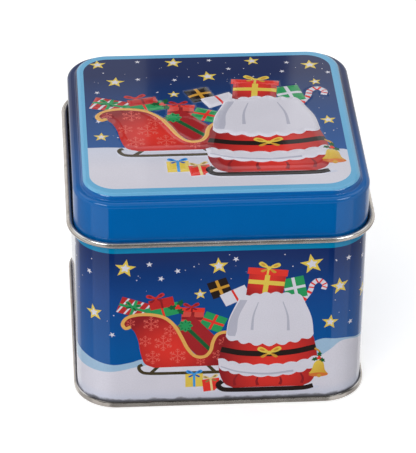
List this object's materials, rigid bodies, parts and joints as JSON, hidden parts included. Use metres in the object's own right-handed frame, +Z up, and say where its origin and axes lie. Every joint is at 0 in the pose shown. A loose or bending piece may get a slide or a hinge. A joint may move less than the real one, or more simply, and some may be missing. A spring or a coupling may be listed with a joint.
{
  "type": "cookie tin",
  "caption": "Square tinplate storage tin with rounded corners, an embossed printed picture, and a deep slip-on lid with a rolled curl.",
  "frame": {"origin": "middle of the plane the tin stands on, on its upright centre line", "axes": "+Z up through the lid, the printed front faces -Y, the lock seam is in the middle of the +Y side"},
  "size_m": [0.1054, 0.1054, 0.0857],
  "materials": {
    "lid_print": "gloss printed",
    "body_print": "gloss printed",
    "bare_tinplate": "satin"
  },
  "bodies": {
    "tin": {"body_wall": "body_print", "base_end": "bare_tinplate"},
    "lid": {"lid": "lid_print"}
  },
  "joints": [
    {"name": "lid_lift", "type": "slide", "parent": "tin", "child": "lid", "axis": [0, 0, 1], "range_m": [0, 0.02]}
  ]
}
